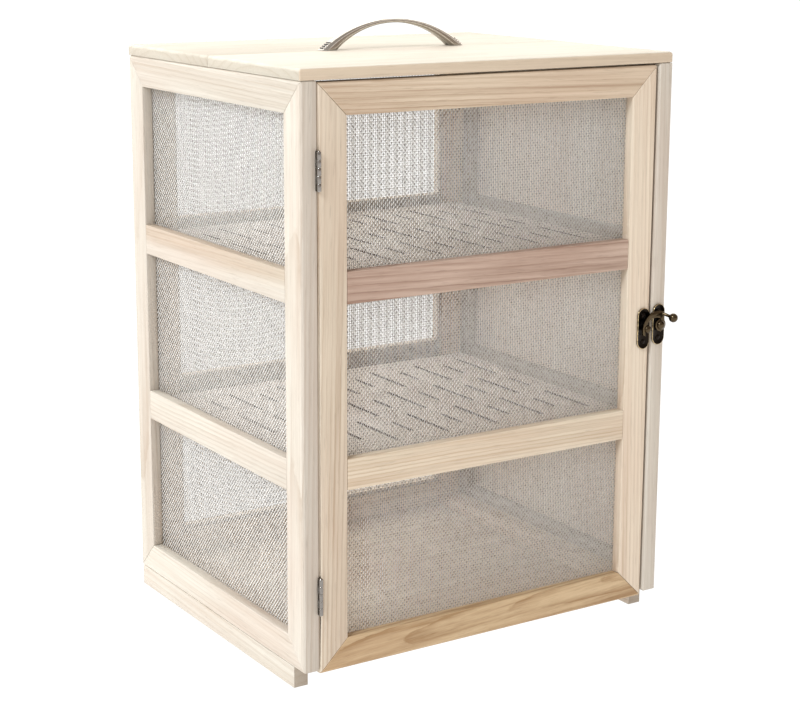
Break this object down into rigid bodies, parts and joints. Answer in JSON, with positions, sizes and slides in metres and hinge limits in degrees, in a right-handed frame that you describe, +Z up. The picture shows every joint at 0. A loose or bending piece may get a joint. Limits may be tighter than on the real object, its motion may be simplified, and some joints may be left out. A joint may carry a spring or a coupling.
{
  "type": "food dehydrator",
  "caption": "Portable wooden drying cabinet with wire-screened sides and back, a hinged screened door with a swing-hook latch, loose slotted shelves and a bow handle on top.",
  "frame": {"origin": "on the floor under the centre of the whole object's box, which the latch's ball and the door's front carry 1.8 mm right of and 8.5 mm in front of the cabinet's own centre", "axes": "front faces -Y, +X to the right of someone facing the door, +Z up"},
  "size_m": [0.3636, 0.317, 0.5195],
  "materials": {
    "pale_wood": "bare pale softwood, planed and sanded, with faint tan streaks",
    "door_wood": "bare pale softwood with warmer golden and reddish streaks",
    "rear_wood": "bare pale softwood",
    "veneer": "thin bare sheet with upright grain",
    "shelf_board": "thin greyish board, slots cut through",
    "screen_wire": "plain woven light grey metal wire, about 2 mm pitch",
    "hinge_steel": "plain steel, slightly dulled",
    "antique_bronze": "very dark antique bronze, rubbed bright along its edges",
    "satin_nickel": "satin nickel plating"
  },
  "bodies": {
    "cabinet": {"left_rail_bottom": "pale_wood", "left_rail_top": "pale_wood", "left_stile_front": "pale_wood", "left_stile_rear": "pale_wood", "left_rail_lower": "pale_wood", "left_rail_upper": "pale_wood", "right_rail_bottom": "pale_wood", "right_rail_top": "pale_wood", "right_stile_front": "pale_wood", "right_stile_rear": "pale_wood", "right_rail_lower": "pale_wood", "right_rail_upper": "pale_wood", "rear_rail_bottom": "rear_wood", "rear_rail_top": "rear_wood", "rear_stile_left": "rear_wood", "rear_stile_right": "rear_wood", "rear_rail_lower": "rear_wood", "rear_rail_upper": "rear_wood", "left_screen": "screen_wire", "rear_screen": "screen_wire", "right_panel": "veneer", "top_board_front": "pale_wood", "top_board_rear": "pale_wood", "floor_board": "pale_wood", "floor_batten_left": "pale_wood", "floor_batten_right": "pale_wood", "foot_rail_left": "pale_wood", "foot_rail_right": "pale_wood", "shelf_cleat_lower_left": "pale_wood", "shelf_cleat_lower_right": "pale_wood", "shelf_cleat_lower_rear": "pale_wood", "shelf_cleat_upper_left": "pale_wood", "shelf_cleat_upper_right": "pale_wood", "shelf_cleat_upper_rear": "pale_wood", "hinge_lower_frame_leaf": "hinge_steel", "hinge_lower_pin": "hinge_steel", "hinge_upper_frame_leaf": "hinge_steel", "hinge_upper_pin": "hinge_steel", "latch_plate": "antique_bronze", "latch_rivet": "antique_bronze", "top_handle": "satin_nickel", "handle_screw_left": "hinge_steel", "handle_screw_right": "hinge_steel"},
    "door": {"door_rail_bottom": "door_wood", "door_rail_top": "door_wood", "door_stile_left": "door_wood", "door_stile_right": "door_wood", "door_rail_lower": "door_wood", "door_rail_upper": "door_wood", "door_screen": "screen_wire", "catch_plate": "antique_bronze", "catch_peg": "antique_bronze", "hinge_lower_door_leaf": "hinge_steel", "hinge_upper_door_leaf": "hinge_steel"},
    "latch": {"latch_hook": "antique_bronze"},
    "shelf_lower": {"shelf_lower": "shelf_board"},
    "shelf_upper": {"shelf_upper": "shelf_board"}
  },
  "joints": [
    {"name": "door_swing", "type": "hinge", "parent": "cabinet", "child": "door", "pos_m": [-0.1673, -0.144, 0.2484], "axis": [0, 0, -1], "range_deg": [0, 170]},
    {"name": "latch_swing", "type": "hinge", "parent": "cabinet", "child": "latch", "pos_m": [0.1712, -0.1452, 0.2614], "axis": [0, 1, 0], "range_deg": [0, 100]},
    {"name": "lower_shelf_slide", "type": "slide", "parent": "cabinet", "child": "shelf_lower", "axis": [0, -1, 0], "range_m": [-0.015, 0.005]},
    {"name": "upper_shelf_slide", "type": "slide", "parent": "cabinet", "child": "shelf_upper", "axis": [0, -1, 0], "range_m": [0, 0.02]}
  ]
}
